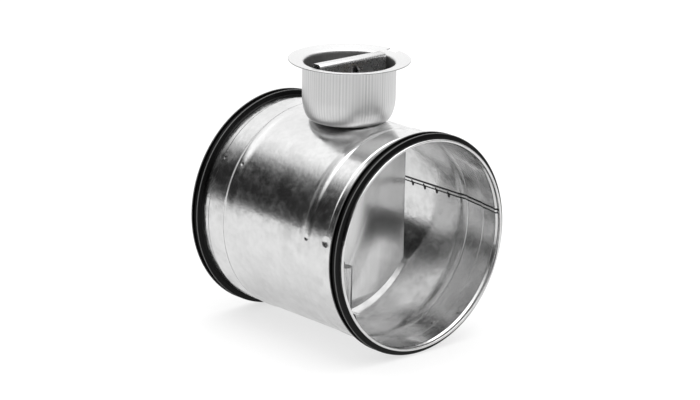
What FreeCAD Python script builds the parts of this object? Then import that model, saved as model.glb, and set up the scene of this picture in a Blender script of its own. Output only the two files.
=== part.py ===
import FreeCAD, Part
import math
import os

from FreeCAD import Vector

os.makedirs("parts", exist_ok=True)

# Frame: X runs along the duct from the rear end face at 0 to the front end face.
# Z runs up the blade shaft to the handle, and Y across the duct. All sizes in mm.

# Duct casing, rolled from galvanised sheet
overall_length = 132.5
duct_outer_d = 124.2
sheet_t = 0.7
bead_start = 27.6
bead_steep_run = 3.0
bead_gentle_run = 6.4
bead_height = 1.2
neck_length = 14.4
neck_drop = 0.45
neck_step_length = 1.6
rim_thickness = 1.55
rim_flat = 0.35
rim_length = 2.2
hem_length = 4.5
hem_fold_r = 0.3
seam_angle = 8.2
seam_width = 2.9
seam_height = 0.45
seam_end_gap = 3.0

# Rubber lip gaskets on the two necks
gasket_length = 7.6
gasket_base_t = 0.65
gasket_gap = 0.05
gasket_lip_height = 2.75
gasket_lip_tip = 0.45
gasket_lip_root = 1.0
gasket_front_lip = 3.2
gasket_rear_lip = 7.8

# Flat seats pressed in the casing for the two bushes and the cup
top_flat_drop = 1.3
bottom_flat_drop = 0.9
bottom_flat_r = 10.4
flat_margin = 2.2

# Insulation cup, deep-drawn sheet
cup_outer_r = 27.1
cup_sheet_t = 0.7
cup_corner_radial = 5.3
cup_corner_height = 14.4
cup_flange_r = 35.45
cup_flange_top = 96.6
cup_flange_dish = 1.3
cup_mouth_roll = 1.6
notch_width = 8.0
notch_depth = 3.4
seal_thickness = 0.5
seal_outer_r = 11.0
cup_rivet_pitch_r = 16.0
cup_rivet_d = 3.2
rivet_head_ratio = 1.9
rivet_head_height = 1.1

# Shafts and their bushes
shaft_d = 8.0
bush_clearance = 0.05
bush_wall = 1.2
bush_hole_gap = 0.05
bush_flange_r = 6.5
bush_flange_t = 1.0
bush_chamfer = 0.5
upper_bush_height = 6.8
bush_nut_af = 17.0
bush_nut_height = 4.0
lower_bush_length = 4.6
lower_bush_end_t = 1.2
shaft_end_gap = 0.2
lower_clip_r = 9.0
lower_clip_t = 0.6
clip_slits = 6
clip_slit_length = 2.2
clip_slit_width = 0.8
friction_washer_t = 0.6
friction_washer_r = 7.6
running_gap = 0.1
shaft_chamfer = 0.5
seal_ring_section = 1.02
seal_ring_height = 5.0
seal_ring_gap = 0.01

# Blade and how the half shafts are riveted to it
blade_gap = 2.6
blade_half_width = 48.4
blade_t = 1.0
shaft_seat_flat = 0.1
blade_notch_half = 5.6
blade_notch_gap = 1.4
shaft_tail = 29.0
shaft_rivet_d = 3.0
shaft_rivet_first = 7.0
shaft_rivet_pitch = 11.5
shaft_rivet_depth = 4.5

# Handle bar, folded from sheet, and its cross pin
handle_end_gap = 1.4
handle_width = 7.2
handle_sheet_t = 1.2
handle_depth = 18.5
handle_bend_r = 1.7
handle_top = 96.9
handle_hole_d = 9.5
handle_hole_drop = 8.5
shaft_flats_gap = 0.1
handle_pin_d = 3.0
handle_pin_rise = 2.6
pin_head_ratio = 1.5
pin_head_height = 0.8
shaft_top_rise = 5.0

# Quadrant with its lock stud, washer and nut
quadrant_t = 1.5
quadrant_outer_r = 20.5
quadrant_hub_r = 8.0
slot_pitch_r = 14.8
slot_gap = 0.35
slot_end_angle = 14.0
stud_d = 5.0
stud_angle = 225.0
stud_shoulder_r = 4.4
stud_head_r = 4.4
stud_head_t = 0.4
stud_top_rise = 1.0
stud_chamfer = 0.5
quadrant_seat_gap = 0.3
lock_washer_r = 5.0
lock_washer_t = 0.8
lock_nut_af = 8.0
lock_nut_height = 4.0
nut_face_ratio = 0.95
nut_chamfer_angle = 30.0
thread_clearance = 0.05

# The blade opens clockwise, seen from above, and stands a little open at rest
opening_at_rest = 1.5
full_opening = 90.0

# Places worked out from the sizes above
mid_x = overall_length / 2
wall_r = duct_outer_d / 2
wall_inner_r = wall_r - sheet_t
neck_r = wall_r - neck_drop
bead_crest = bead_start + bead_steep_run
bead_end = bead_crest + bead_gentle_run
rim_inner_r = wall_r - rim_thickness
shaft_r = shaft_d / 2
bush_bore_r = shaft_r + bush_clearance
bush_outer_r = bush_bore_r + bush_wall
bush_hole_r = bush_outer_r + bush_hole_gap
top_flat_z = wall_r - top_flat_drop
cup_bottom_z = top_flat_z + seal_thickness
cup_floor_z = cup_bottom_z + cup_sheet_t
cup_flat_r = cup_outer_r - cup_corner_radial
top_flat_r = cup_flat_r + flat_margin
bottom_flat_z = -(wall_r - bottom_flat_drop)
upper_bush_top = cup_floor_z + upper_bush_height
quadrant_z = upper_bush_top + friction_washer_t + running_gap
quadrant_top = quadrant_z + quadrant_t
blade_r = wall_inner_r - blade_gap
blade_front_x = mid_x - shaft_r + shaft_seat_flat
blade_back_x = blade_front_x - blade_t
upper_notch_z = top_flat_z - sheet_t - bush_flange_t - blade_notch_gap
lower_notch_z = bottom_flat_z + sheet_t + bush_flange_t + blade_notch_gap
lower_shaft_end = bottom_flat_z - lower_bush_length + lower_bush_end_t + shaft_end_gap
shaft_flats = handle_width - 2 * handle_sheet_t - 2 * shaft_flats_gap
handle_bottom = handle_top - handle_depth
handle_reach = cup_outer_r - cup_sheet_t - handle_end_gap
handle_length = 2 * math.sqrt(handle_reach ** 2 - (handle_width / 2) ** 2)
shaft_top = handle_bottom + shaft_top_rise
lock_washer_z = quadrant_top + quadrant_seat_gap
lock_nut_z = lock_washer_z + lock_washer_t + running_gap
stud_top = lock_nut_z + lock_nut_height + stud_top_rise
stud_x = mid_x + slot_pitch_r * math.cos(math.radians(stud_angle))
stud_y = slot_pitch_r * math.sin(math.radians(stud_angle))
slot_half = stud_d / 2 + slot_gap

axis_x = Vector(1, 0, 0)
axis_z = Vector(0, 0, 1)
shaft_base = Vector(mid_x, 0, 0)


def save(name, shape):
    shape.exportStep("parts/" + name + ".step")
    print(name, len(shape.Solids), "solids, valid", shape.isValid())


# Profiles are drawn in the X-Z plane, with x along the duct and r as the radius
def at(x, r):
    return Vector(x, 0, r)


def line(a, b):
    return Part.makeLine(a, b)


def arc(a, b, c):
    return Part.Arc(a, b, c).toShape()


def spin(edges, centre, axis, angle=360):
    wire = Part.Wire(Part.__sortEdges__(edges))
    return Part.Face(wire).revolve(centre, axis, angle)


def spin_x(edges, angle=360):
    return spin(edges, Vector(0, 0, 0), axis_x, angle)


def spin_z(edges):
    return spin(edges, shaft_base, axis_z)


# A smooth step between two radii, or its parallel curve at a depth below it
def ease(x0, r0, x1, r1, depth):
    rise = r1 - r0
    run = x1 - x0
    side = 1 if rise > 0 else -1
    turn = 2 * math.atan2(abs(rise), run)
    radius = run / 2 / math.sin(turn)
    first = radius + side * depth
    second = radius - side * depth
    start_c = Vector(x0, 0, r0 + side * radius)
    end_c = Vector(x1, 0, r1 - side * radius)

    def near(centre, size, angle, way):
        return centre + Vector(way * size * math.sin(angle), 0, -way * side * size * math.cos(angle))

    middle = near(start_c, first, turn, 1)
    return [
        arc(near(start_c, first, 0, 1), near(start_c, first, turn / 2, 1), middle),
        arc(middle, near(end_c, second, turn / 2, -1), near(end_c, second, 0, -1)),
    ]


# The casing's outer skin from one end to mid-length, or its parallel at a depth
def skin(start, depth):
    neck_end = neck_length + neck_step_length
    crown_r = wall_r + bead_height
    edges = [line(at(start, neck_r - depth), at(neck_length, neck_r - depth))]
    edges += ease(neck_length, neck_r, neck_end, wall_r, depth)
    edges += [line(at(neck_end, wall_r - depth), at(bead_start, wall_r - depth))]
    edges += ease(bead_start, wall_r, bead_crest, crown_r, depth)
    edges += ease(bead_crest, crown_r, bead_end, wall_r, depth)
    edges += [line(at(bead_end, wall_r - depth), at(mid_x, wall_r - depth))]
    return edges


def both_halves(edges):
    return edges + [edge.mirror(shaft_base, axis_x) for edge in edges]


# A band of sheet that follows the skin between two depths
def wall_band(start, shallow, deep, angle=360):
    edges = both_halves(skin(start, shallow) + skin(start, deep))
    edges += [line(at(start, neck_r - shallow), at(start, neck_r - deep))]
    far = overall_length - start
    edges += [line(at(far, neck_r - shallow), at(far, neck_r - deep))]
    return spin_x(edges, angle)


# The rounded rim, where the sheet is folded back on itself
def rim():
    nose = (rim_thickness - rim_flat) / 2
    bend = nose * (1 - math.sqrt(0.5))
    fold = hem_fold_r * (1 - math.sqrt(0.5))
    hem_r = neck_r - sheet_t / 2
    edges = [
        arc(at(nose, rim_inner_r), at(bend, rim_inner_r + bend), at(0, rim_inner_r + nose)),
        line(at(0, rim_inner_r + nose), at(0, wall_r - nose)),
        arc(at(0, wall_r - nose), at(bend, wall_r - bend), at(nose, wall_r)),
        line(at(nose, wall_r), at(rim_length, wall_r)),
        line(at(rim_length, wall_r), at(rim_length, hem_r)),
        line(at(rim_length, hem_r), at(hem_length, hem_r)),
        line(at(hem_length, hem_r), at(hem_length, rim_inner_r + hem_fold_r)),
        arc(
            at(hem_length, rim_inner_r + hem_fold_r),
            at(hem_length - fold, rim_inner_r + fold),
            at(hem_length - hem_fold_r, rim_inner_r),
        ),
        line(at(hem_length - hem_fold_r, rim_inner_r), at(nose, rim_inner_r)),
    ]
    return spin_x(edges)


# A round flat seat pressed into the casing, wanted where flat pieces clamp it
def flat_seat(radius, face_z):
    up = axis_z if face_z > 0 else -axis_z
    depth = wall_r + bead_height - abs(face_z)
    inside = up * (abs(face_z) - sheet_t)
    dish = Part.makeCylinder(radius + sheet_t, depth, shaft_base + inside, up)
    barrel = Part.makeCylinder(wall_r, overall_length, Vector(0, 0, 0), axis_x)
    bowl = Part.makeCylinder(radius, depth, shaft_base + up * abs(face_z), up)
    return dish.common(barrel), bowl


# The lock seam: a narrow strip standing proud inside the wall, full length
def lock_seam():
    start = hem_length + seam_end_gap
    half = math.degrees(seam_width / 2 / wall_inner_r)
    strip = wall_band(start, sheet_t / 2, sheet_t + seam_height, 2 * half)
    strip.rotate(Vector(0, 0, 0), axis_x, -(90 - seam_angle) - half)
    return strip


def cup_rivet_places():
    return [Vector(mid_x + way * cup_rivet_pitch_r, 0, 0) for way in (-1, 1)]


def casing():
    front_rim = rim().mirror(shaft_base, axis_x)
    body = wall_band(rim_length - sheet_t / 2, 0, sheet_t).fuse([rim(), front_rim, lock_seam()])
    for radius, face_z in ((top_flat_r, top_flat_z), (bottom_flat_r, bottom_flat_z)):
        dish, bowl = flat_seat(radius, face_z)
        body = body.fuse(dish).cut(bowl)
    hole_height = 2 * overall_length
    body = body.cut(Part.makeCylinder(bush_hole_r, hole_height, shaft_base - axis_z * overall_length))
    for place in cup_rivet_places():
        body = body.cut(Part.makeCylinder(cup_rivet_d / 2, wall_r * 2, place))
    return body.removeSplitter()


# Rubber gasket with two lips, clamped behind the rounded rim
def gasket():
    start = rim_length + gasket_gap
    end = start + gasket_length
    inner = neck_r + gasket_gap
    base = inner + gasket_base_t
    tip = gasket_lip_tip
    top = base + gasket_lip_height - tip
    first = gasket_front_lip
    second = gasket_rear_lip
    valley = (first + second) / 2
    edges = [
        line(at(start, inner), at(start, base)),
        line(at(start, base), at(first - tip, top)),
        arc(at(first - tip, top), at(first, top + tip), at(first + tip, top)),
        arc(at(first + tip, top), at(valley, base), at(second - tip, top)),
        arc(at(second - tip, top), at(second, top + tip), at(second + tip, top)),
        line(at(second + tip, top), at(second + gasket_lip_root, base)),
        line(at(second + gasket_lip_root, base), at(end, base - gasket_base_t / 2)),
        line(at(end, base - gasket_base_t / 2), at(end, inner)),
        line(at(end, inner), at(start, inner)),
    ]
    return spin_x(edges)


# A quarter of an ellipse from the flat floor round to the straight wall
def corner_arc(radial, height, floor_z):
    centre = Vector(mid_x + cup_flat_r, 0, floor_z + height)
    low = centre - axis_z * height
    side = centre + axis_x * radial
    ellipse = Part.Ellipse(low, side, centre) if height > radial else Part.Ellipse(side, low, centre)
    return ellipse.toShape(0, math.pi / 2)


# The deep-drawn cup with its rolled mouth and slightly dished flange
def cup():
    t = cup_sheet_t
    outer_corner = corner_arc(cup_corner_radial, cup_corner_height, cup_bottom_z)
    inner_corner = corner_arc(cup_corner_radial - t, cup_corner_height - t, cup_floor_z)
    wall_x = mid_x + cup_outer_r
    inner_x = wall_x - t
    rim_x = mid_x + cup_flange_r
    flange_in_z = cup_flange_top - cup_flange_dish
    roll_r = cup_mouth_roll
    roll_c = Vector(wall_x + roll_r - t, 0, flange_in_z - roll_r)
    half = math.sqrt(0.5)

    def on_roll(radius, across, up):
        return roll_c + Vector(-radius * across, 0, radius * up)

    outer_low = Vector(wall_x, 0, cup_bottom_z + cup_corner_height)
    inner_low = Vector(inner_x, 0, cup_bottom_z + cup_corner_height)
    edges = [
        outer_corner,
        inner_corner,
        line(Vector(mid_x, 0, cup_bottom_z), Vector(mid_x + cup_flat_r, 0, cup_bottom_z)),
        line(Vector(mid_x, 0, cup_floor_z), Vector(mid_x + cup_flat_r, 0, cup_floor_z)),
        line(Vector(mid_x, 0, cup_bottom_z), Vector(mid_x, 0, cup_floor_z)),
        line(outer_low, on_roll(roll_r - t, 1, 0)),
        line(inner_low, on_roll(roll_r, 1, 0)),
        arc(on_roll(roll_r, 1, 0), on_roll(roll_r, half, half), on_roll(roll_r, 0, 1)),
        arc(on_roll(roll_r - t, 1, 0), on_roll(roll_r - t, half, half), on_roll(roll_r - t, 0, 1)),
        line(on_roll(roll_r, 0, 1), Vector(rim_x, 0, cup_flange_top)),
        line(on_roll(roll_r - t, 0, 1), Vector(rim_x, 0, cup_flange_top - t)),
        line(Vector(rim_x, 0, cup_flange_top), Vector(rim_x, 0, cup_flange_top - t)),
    ]
    body = spin_z(edges)
    corner = Vector(mid_x - notch_width / 2, cup_flange_r - notch_depth, flange_in_z - 2 * t)
    body = body.cut(Part.makeBox(notch_width, cup_flange_r, cup_flange_dish + 3 * t, corner))
    body = body.cut(Part.makeCylinder(bush_hole_r, cup_flange_top, shaft_base))
    for place in cup_rivet_places():
        body = body.cut(Part.makeCylinder(cup_rivet_d / 2, cup_flange_top, place))
    body = body.cut(Part.makeCylinder(stud_head_r, stud_head_t, Vector(stud_x, stud_y, cup_bottom_z)))
    body = body.cut(Part.makeCylinder(stud_d / 2, cup_flange_top, Vector(stud_x, stud_y, 0)))
    return body


def ring(inner, outer, z0, z1, centre=shaft_base):
    low = Vector(centre.x, centre.y, z0)
    body = Part.makeCylinder(outer, z1 - z0, low)
    return body.cut(Part.makeCylinder(inner, z1 - z0, low))


def cup_seal():
    return ring(bush_hole_r, seal_outer_r, top_flat_z, cup_bottom_z)


# A rivet with a domed head at each end, or at its start only, turned about its own axis
def rivet(shank_r, head_r, head_height, start, end, blind=False):
    length = start.distanceToPoint(end)
    bulge = (head_r ** 2 + head_height ** 2) / 2 / head_height
    slope = math.asin(head_r / bulge) / 2
    side = bulge * math.sin(slope)
    rise = head_height - bulge * (1 - math.cos(slope))
    edges = [
        arc(at(0, -head_height), at(side, -rise), at(head_r, 0)),
        line(at(head_r, 0), at(shank_r, 0)),
        line(at(shank_r, 0), at(shank_r, length)),
    ]
    if blind:
        edges += [line(at(shank_r, length), at(0, length)), line(at(0, length), at(0, -head_height))]
    else:
        edges += [
            line(at(shank_r, length), at(head_r, length)),
            arc(at(head_r, length), at(side, length + rise), at(0, length + head_height)),
            line(at(0, length + head_height), at(0, -head_height)),
        ]
    body = spin(edges, Vector(0, 0, 0), axis_z)
    body.Placement = FreeCAD.Placement(start, FreeCAD.Rotation(axis_z, end - start))
    return body


# Two rivets through the cup's floor and the casing's flat seat
def cup_rivets():
    head_r = cup_rivet_d / 2 * rivet_head_ratio
    solids = []
    for place in cup_rivet_places():
        low = place + axis_z * (top_flat_z - sheet_t)
        spacer = Part.makeCylinder(head_r, seal_thickness, place + axis_z * top_flat_z)
        pin = rivet(cup_rivet_d / 2, head_r, rivet_head_height, low, place + axis_z * cup_floor_z)
        solids.append(pin.fuse(spacer).removeSplitter())
    return Part.makeCompound(solids)


def hexagon(flats, height, centre):
    corner_r = flats / math.sqrt(3)
    corners = []
    for side in range(6):
        turn = math.radians(60 * side)
        corners.append(centre + Vector(corner_r * math.cos(turn), corner_r * math.sin(turn), 0))
    block = Part.Face(Part.makePolygon(corners + corners[:1])).extrude(axis_z * height)
    face_r = flats / 2 * nut_face_ratio
    spread = height / math.tan(math.radians(nut_chamfer_angle))
    return block.common(Part.makeCone(face_r + spread, face_r, height, centre))


# The round edge of a turned piece that lies nearest to a height
def edge_at(shape, z):
    rounds = [edge for edge in shape.Edges if len(edge.Vertexes) == 1]
    return min(rounds, key=lambda edge: abs(edge.BoundBox.ZMax - z) + edge.BoundBox.ZLength)


# The upper bush runs from inside the casing to above the cup's floor
def upper_bush():
    low = top_flat_z - sheet_t - bush_flange_t
    body = Part.makeCylinder(bush_flange_r, bush_flange_t, shaft_base + axis_z * low)
    sleeve = Part.makeCylinder(bush_outer_r, upper_bush_top - low, shaft_base + axis_z * low)
    sleeve = sleeve.makeChamfer(bush_chamfer, [edge_at(sleeve, upper_bush_top)])
    bore = Part.makeCylinder(bush_bore_r, upper_bush_top - low, shaft_base + axis_z * low)
    return body.fuse(sleeve).cut(bore).removeSplitter()


def bush_nut():
    body = hexagon(bush_nut_af, bush_nut_height, shaft_base + axis_z * cup_floor_z)
    return body.cut(Part.makeCylinder(bush_outer_r, wall_r, shaft_base + axis_z * cup_bottom_z))


# The lower bush is closed at its outer end and held by a push-on clip
def lower_bush():
    inner_face = bottom_flat_z + sheet_t
    top = inner_face + bush_flange_t
    end = bottom_flat_z - lower_bush_length
    body = Part.makeCylinder(bush_flange_r, bush_flange_t, shaft_base + axis_z * inner_face)
    sleeve = Part.makeCylinder(bush_outer_r, inner_face - end, shaft_base + axis_z * end)
    sleeve = sleeve.makeChamfer(bush_chamfer, [edge_at(sleeve, end)])
    bore_z = end + lower_bush_end_t
    bore = Part.makeCylinder(bush_bore_r, top - bore_z, shaft_base + axis_z * bore_z)
    return body.fuse(sleeve).cut(bore).removeSplitter()


def lower_clip():
    body = ring(bush_outer_r, lower_clip_r, bottom_flat_z - lower_clip_t, bottom_flat_z)
    for number in range(clip_slits):
        slit = Part.makeBox(clip_slit_length, clip_slit_width, 2 * lower_clip_t)
        start = mid_x + bush_outer_r - clip_slit_width / 2
        slit.translate(Vector(start, -clip_slit_width / 2, bottom_flat_z - 1.5 * lower_clip_t))
        slit.rotate(shaft_base, axis_z, number * 360 / clip_slits)
        body = body.cut(slit)
    return body


def friction_washer():
    return ring(bush_bore_r, friction_washer_r, upper_bush_top, upper_bush_top + friction_washer_t)


# A stud pressed into the cup's floor, with a shoulder under the quadrant
def lock_stud():
    foot = Vector(stud_x, stud_y, cup_bottom_z)
    shoulder = quadrant_z - quadrant_seat_gap
    head = Part.makeCylinder(stud_head_r, stud_head_t, foot)
    collar = Part.makeCylinder(stud_shoulder_r, shoulder - cup_floor_z, Vector(stud_x, stud_y, cup_floor_z))
    post = Part.makeCylinder(stud_d / 2, stud_top - cup_bottom_z, foot)
    post = post.makeChamfer(stud_chamfer, [edge_at(post, stud_top)])
    return post.fuse([head, collar]).removeSplitter()


def lock_washer():
    hole_r = stud_d / 2 + thread_clearance
    top = lock_washer_z + lock_washer_t
    return ring(hole_r, lock_washer_r, lock_washer_z, top, Vector(stud_x, stud_y, 0))


def lock_nut():
    place = Vector(stud_x, stud_y, lock_nut_z)
    body = hexagon(lock_nut_af, lock_nut_height, place)
    return body.cut(Part.makeCylinder(stud_d / 2 + thread_clearance, lock_nut_height, place))


# How far from the duct's axis the blade's notch and the shaft's rivets lie
def notch_level(way):
    return upper_notch_z if way > 0 else -lower_notch_z


def rivet_levels(way):
    first = notch_level(way) - shaft_rivet_first
    return [first, first - shaft_rivet_pitch]


# The blade: a disc with straight sides, notched where the bushes stand
def blade():
    body = Part.makeCylinder(blade_r, blade_t, Vector(blade_back_x, 0, 0), axis_x)
    keep = Part.makeBox(blade_t, 2 * blade_half_width, 2 * blade_r)
    keep.translate(Vector(blade_back_x, -blade_half_width, -blade_r))
    body = body.common(keep)
    for way in (1, -1):
        notch = Part.makeBox(blade_t, 2 * blade_notch_half, blade_r)
        notch.translate(Vector(blade_back_x, -blade_notch_half, notch_level(way)))
        if way < 0:
            notch = notch.mirror(Vector(0, 0, 0), axis_z)
        body = body.cut(notch)
        for level in rivet_levels(way):
            place = Vector(blade_back_x, 0, level * way)
            body = body.cut(Part.makeCylinder(shaft_rivet_d / 2, blade_t, place, axis_x))
    return body


# What every half shaft has: a flat that seats on the blade, and blind rivet holes
def shaft_seat(body, way):
    behind = Part.makeCylinder(shaft_d, notch_level(way), shaft_base, axis_z * way)
    limit = Part.makeBox(shaft_d, 2 * shaft_d, 2 * blade_r)
    limit.translate(Vector(blade_front_x - shaft_d, -shaft_d, -blade_r))
    body = body.cut(behind.common(limit))
    for level in rivet_levels(way):
        place = Vector(blade_front_x, 0, level * way)
        body = body.cut(Part.makeCylinder(shaft_rivet_d / 2, shaft_rivet_depth, place, axis_x))
    return body


# Round through the bush, then two flats for the quadrant and the handle
def upper_shaft():
    tail_end = upper_notch_z - shaft_tail
    body = Part.makeCylinder(shaft_r, shaft_top - tail_end, shaft_base + axis_z * tail_end)
    for side in (-1, 1):
        flat = Part.makeBox(shaft_d, 2 * shaft_d, shaft_top - quadrant_z)
        inner = mid_x + side * shaft_flats / 2
        start = inner if side > 0 else inner - shaft_d
        flat.translate(Vector(start, -shaft_d, quadrant_z))
        body = body.cut(flat)
    groove_r = shaft_r - seal_ring_section
    level = cup_bottom_z + seal_ring_height
    body = body.cut(ring(groove_r, shaft_d, level - seal_ring_section, level + seal_ring_section))
    pin_place = Vector(mid_x - shaft_d, 0, handle_bottom + handle_pin_rise)
    body = body.cut(Part.makeCylinder(handle_pin_d / 2, shaft_d * 2, pin_place, axis_x))
    return shaft_seat(body, 1)


def lower_shaft():
    tail_end = lower_notch_z + shaft_tail
    body = Part.makeCylinder(shaft_r, tail_end - lower_shaft_end, shaft_base + axis_z * lower_shaft_end)
    body = body.makeChamfer(shaft_chamfer, [edge_at(body, lower_shaft_end)])
    return shaft_seat(body, -1)


# Rivets driven from behind the blade into each half shaft, which leave its front smooth
def shaft_rivets(way):
    head_r = shaft_rivet_d / 2 * rivet_head_ratio
    solids = []
    for level in rivet_levels(way):
        start = Vector(blade_back_x, 0, level * way)
        end = Vector(blade_front_x + shaft_rivet_depth, 0, level * way)
        solids.append(rivet(shaft_rivet_d / 2, head_r, rivet_head_height, start, end, blind=True))
    return Part.makeCompound(solids)


# A rubber ring in the shaft's groove, running in the bush
def shaft_seal():
    section = seal_ring_section / 2
    body = Part.makeTorus(bush_bore_r - seal_ring_gap - section, section)
    body.translate(shaft_base + axis_z * (cup_bottom_z + seal_ring_height))
    return body


# The bent sheet's outline across the handle, outside or inside
def handle_section(width, top, low, bend):
    half = width / 2
    cut = bend * (1 - math.sqrt(0.5))
    left = mid_x - half
    right = mid_x + half
    return [
        line(at(left, low), at(left, top - bend)),
        arc(at(left, top - bend), at(left + cut, top - cut), at(left + bend, top)),
        line(at(left + bend, top), at(right - bend, top)),
        arc(at(right - bend, top), at(right - cut, top - cut), at(right, top - bend)),
        line(at(right, top - bend), at(right, low)),
    ]


# The handle: an upside-down channel that straddles the shaft
def handle_bar():
    t = handle_sheet_t
    outer = handle_section(handle_width, handle_top, handle_bottom, handle_bend_r)
    inner = handle_section(handle_width - 2 * t, handle_top - t, handle_bottom, handle_bend_r - t)
    half = handle_width / 2
    feet = []
    for way in (-1, 1):
        feet.append(line(at(mid_x + way * half, handle_bottom), at(mid_x + way * (half - t), handle_bottom)))
    wire = Part.Wire(Part.__sortEdges__(outer + inner + feet))
    body = Part.Face(wire).extrude(Vector(0, handle_length, 0))
    body.translate(Vector(0, -handle_length / 2, 0))
    hole_z = handle_top - handle_hole_drop
    start_x = mid_x - handle_width
    hole = Part.makeCylinder(handle_hole_d / 2, 2 * handle_width, Vector(start_x, 0, hole_z), axis_x)
    pin_z = handle_bottom + handle_pin_rise
    pin_hole = Part.makeCylinder(handle_pin_d / 2, 2 * handle_width, Vector(start_x, 0, pin_z), axis_x)
    return body.cut(hole).cut(pin_hole)


def handle_pin():
    pin_z = handle_bottom + handle_pin_rise
    half = handle_width / 2
    start = Vector(mid_x - half, 0, pin_z)
    end = Vector(mid_x + half, 0, pin_z)
    return rivet(handle_pin_d / 2, handle_pin_d / 2 * pin_head_ratio, pin_head_height, start, end)


# A sector plate with a curved slot that stops the blade at both ends
def quadrant():
    end_angle = slot_end_angle + math.degrees(slot_half / slot_pitch_r)
    low = shaft_base + axis_z * quadrant_z
    sector = Part.makeCylinder(quadrant_outer_r, quadrant_t, low, axis_z, full_opening + 2 * end_angle)
    sector.rotate(shaft_base, axis_z, stud_angle - end_angle)
    body = sector.fuse(Part.makeCylinder(quadrant_hub_r, quadrant_t, low))
    slot = Part.makeCylinder(slot_pitch_r + slot_half, quadrant_t, low, axis_z, full_opening)
    slot = slot.cut(Part.makeCylinder(slot_pitch_r - slot_half, quadrant_t, low))
    slot.rotate(shaft_base, axis_z, stud_angle)
    body = body.cut(slot)
    for angle in (stud_angle, stud_angle + full_opening):
        turn = math.radians(angle)
        spot = low + Vector(slot_pitch_r * math.cos(turn), slot_pitch_r * math.sin(turn), 0)
        body = body.cut(Part.makeCylinder(slot_half, quadrant_t, spot))
    hole = Part.makeCylinder(shaft_r, quadrant_t, low)
    key = Part.makeBox(shaft_flats, shaft_d, quadrant_t)
    key.translate(low - Vector(shaft_flats / 2, shaft_r, 0))
    return body.cut(hole.common(key)).removeSplitter()


# Turned from shut to where the blade stands at rest
def opened(shape):
    turned = shape.copy()
    turned.rotate(shaft_base, axis_z, -opening_at_rest)
    return turned


save("casing", casing())
rear = gasket()
save("rear_gasket", rear)
save("front_gasket", rear.mirror(shaft_base, axis_x))
save("cup", cup())
save("cup_seal", cup_seal())
save("cup_rivets", cup_rivets())
save("upper_bush", upper_bush())
save("bush_nut", bush_nut())
save("lower_bush", lower_bush())
save("lower_clip", lower_clip())
save("friction_washer", friction_washer())
save("lock_stud", lock_stud())
save("lock_washer", lock_washer())
save("lock_nut", lock_nut())
save("blade", opened(blade()))
save("upper_shaft", opened(upper_shaft()))
save("lower_shaft", opened(lower_shaft()))
save("upper_shaft_rivets", opened(shaft_rivets(1)))
save("lower_shaft_rivets", opened(shaft_rivets(-1)))
save("shaft_seal", opened(shaft_seal()))
save("quadrant", opened(quadrant()))
save("handle_bar", opened(handle_bar()))
save("handle_pin", opened(handle_pin()))
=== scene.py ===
import bmesh
import bpy
import math
from mathutils import Matrix, Vector


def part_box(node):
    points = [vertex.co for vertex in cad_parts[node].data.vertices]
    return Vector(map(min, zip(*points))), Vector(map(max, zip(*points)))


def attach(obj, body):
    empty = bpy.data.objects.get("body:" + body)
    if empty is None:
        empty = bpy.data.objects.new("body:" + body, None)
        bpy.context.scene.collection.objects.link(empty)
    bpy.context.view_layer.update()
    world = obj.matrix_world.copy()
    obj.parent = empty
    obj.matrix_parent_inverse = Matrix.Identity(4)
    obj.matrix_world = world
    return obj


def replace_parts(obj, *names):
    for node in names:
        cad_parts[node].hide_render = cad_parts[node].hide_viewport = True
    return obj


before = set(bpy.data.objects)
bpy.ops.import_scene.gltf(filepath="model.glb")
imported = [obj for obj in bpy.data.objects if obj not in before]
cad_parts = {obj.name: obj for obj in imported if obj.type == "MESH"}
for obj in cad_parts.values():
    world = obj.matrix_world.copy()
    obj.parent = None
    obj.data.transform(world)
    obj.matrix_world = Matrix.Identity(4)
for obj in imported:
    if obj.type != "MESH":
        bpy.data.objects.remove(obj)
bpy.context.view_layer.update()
print("frame loaded")

mm = 0.001
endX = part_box("casing")[1].x
midX = endX / 2
shaftCentre = Vector((midX, 0, 0))
sharpAngle = math.radians(38)  # an edge bent by more than this shows as sharp
mergeGap = 0.005 * mm  # points nearer than this become one
fineRelief = 0.05 * mm  # height of the finest marks on metal and rubber

# Small staked dents in the casing: distance from the rear end, angle round the duct, the wall's
# radius there, the dent's own radius, and its share of the full depth
dents = [
    (17.0 * mm, 145.5, 62.1 * mm, 1.4 * mm, 0.2),
    (33.0 * mm, 145.8, 62.6 * mm, 1.4 * mm, 0.2),
    (101.4 * mm, 171.2, 62.4 * mm, 2.2 * mm, 0.7),
    (117.2 * mm, 170.2, 61.9 * mm, 3.6 * mm, 1.0),
    (125.4 * mm, -53.7, 60.95 * mm, 1.7 * mm, 1.0),
    (115.1 * mm, -65.9, 61.35 * mm, 1.7 * mm, 1.0),
]


# sRGB hex to the linear colour that shaders want
def linearColour(hexText):
    channels = [int(hexText[i:i + 2], 16) / 255 for i in (0, 2, 4)]
    linear = [c / 12.92 if c <= 0.04045 else ((c + 0.055) / 1.055) ** 2.4 for c in channels]
    return tuple(linear + [1.0])


# A node with its settings, and its inputs as values or as links from other nodes' outputs
def addNode(tree, kind, inputs=None, **settings):
    node = tree.nodes.new(kind)
    for name, value in settings.items():
        setattr(node, name, value)
    for key, value in (inputs or {}).items():
        if isinstance(value, bpy.types.NodeSocket):
            tree.links.new(value, node.inputs[key])
        else:
            node.inputs[key].default_value = value
    return node


def setRamp(node, stops):
    ramp = node.color_ramp
    while len(ramp.elements) < len(stops):
        ramp.elements.new(0.5)
    for element, (place, grey) in zip(ramp.elements, stops):
        element.position = place
        element.color = (grey, grey, grey, 1)


def newMaterial(name):
    material = bpy.data.materials.new(name)
    material.use_nodes = True
    material.node_tree.nodes.clear()
    return material, material.node_tree


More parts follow.
